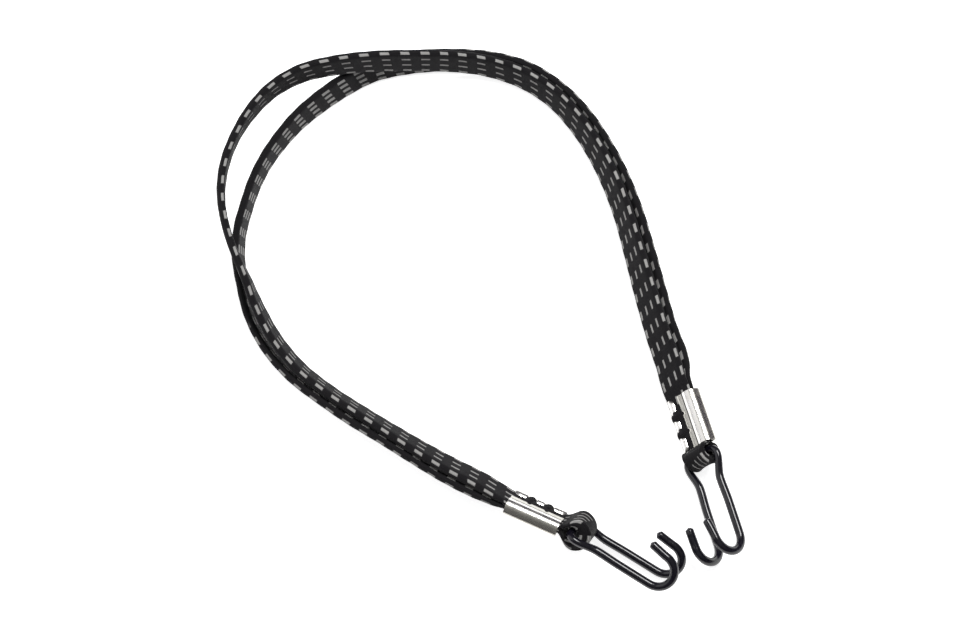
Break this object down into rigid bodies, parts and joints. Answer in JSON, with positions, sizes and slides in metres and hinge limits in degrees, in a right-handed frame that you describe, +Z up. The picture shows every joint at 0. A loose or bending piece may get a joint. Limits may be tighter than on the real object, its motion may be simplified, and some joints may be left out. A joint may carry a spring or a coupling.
{
  "type": "bungee cord",
  "caption": "Flat woven elastic luggage strap laid double in a loop, with crimped metal clamps and black coated double wire hooks at its ends.",
  "frame": {"origin": "on the ground under the middle of the laid-out strap", "axes": "+Z up from the ground, +Y away from the hooks towards the far bend, +X to the right as seen from the hooks"},
  "size_m": [0.207, 0.2318, 0.0261],
  "materials": {
    "webbing": "woven, matte black with pale grey dashes",
    "rubber": "cut natural rubber",
    "clamp_metal": "bright rolled sheet",
    "hook_wire": "drawn wire",
    "hook_coating": "glossy dipped plastic"
  },
  "bodies": {
    "strap": {"upper_run_cover": "webbing", "upper_run_rubber_1": "rubber", "upper_run_rubber_2": "rubber", "upper_run_rubber_3": "rubber", "upper_run_rubber_4": "rubber", "lower_run_cover": "webbing", "lower_run_rubber_1": "rubber", "lower_run_rubber_2": "rubber", "lower_run_rubber_3": "rubber", "lower_run_rubber_4": "rubber", "left_eye_cover": "webbing", "left_eye_rubber_1": "rubber", "left_eye_rubber_2": "rubber", "left_eye_rubber_3": "rubber", "left_eye_rubber_4": "rubber", "left_clamp": "clamp_metal"},
    "left_hook": {"left_hook_wire": "hook_wire", "left_hook_coating": "hook_coating"},
    "right_end": {"right_eye_cover": "webbing", "right_eye_rubber_1": "rubber", "right_eye_rubber_2": "rubber", "right_eye_rubber_3": "rubber", "right_eye_rubber_4": "rubber", "right_clamp": "clamp_metal"},
    "right_hook": {"right_hook_wire": "hook_wire", "right_hook_coating": "hook_coating"}
  },
  "joints": [
    {"name": "strap_stretch", "type": "slide", "parent": "strap", "child": "right_end", "axis": [0.2079, -0.9781, 0], "range_m": [0, 0.15], "stiffness_N_per_m": 200, "deforming": ["upper_run_cover", "upper_run_rubber_1", "upper_run_rubber_2", "upper_run_rubber_3", "upper_run_rubber_4", "lower_run_cover", "lower_run_rubber_1", "lower_run_rubber_2", "lower_run_rubber_3", "lower_run_rubber_4"]},
    {"name": "left_hook_swing", "type": "hinge", "parent": "strap", "child": "left_hook", "pos_m": [0.03808, -0.09077, 0.01028], "axis": [0.2947, 0.6291, -0.7193], "range_deg": [-110, 110]},
    {"name": "right_hook_swing", "type": "hinge", "parent": "right_end", "child": "right_hook", "pos_m": [0.08768, -0.05987, 0.00888], "axis": [0.6287, 0.1336, 0.766], "range_deg": [-110, 110]}
  ]
}
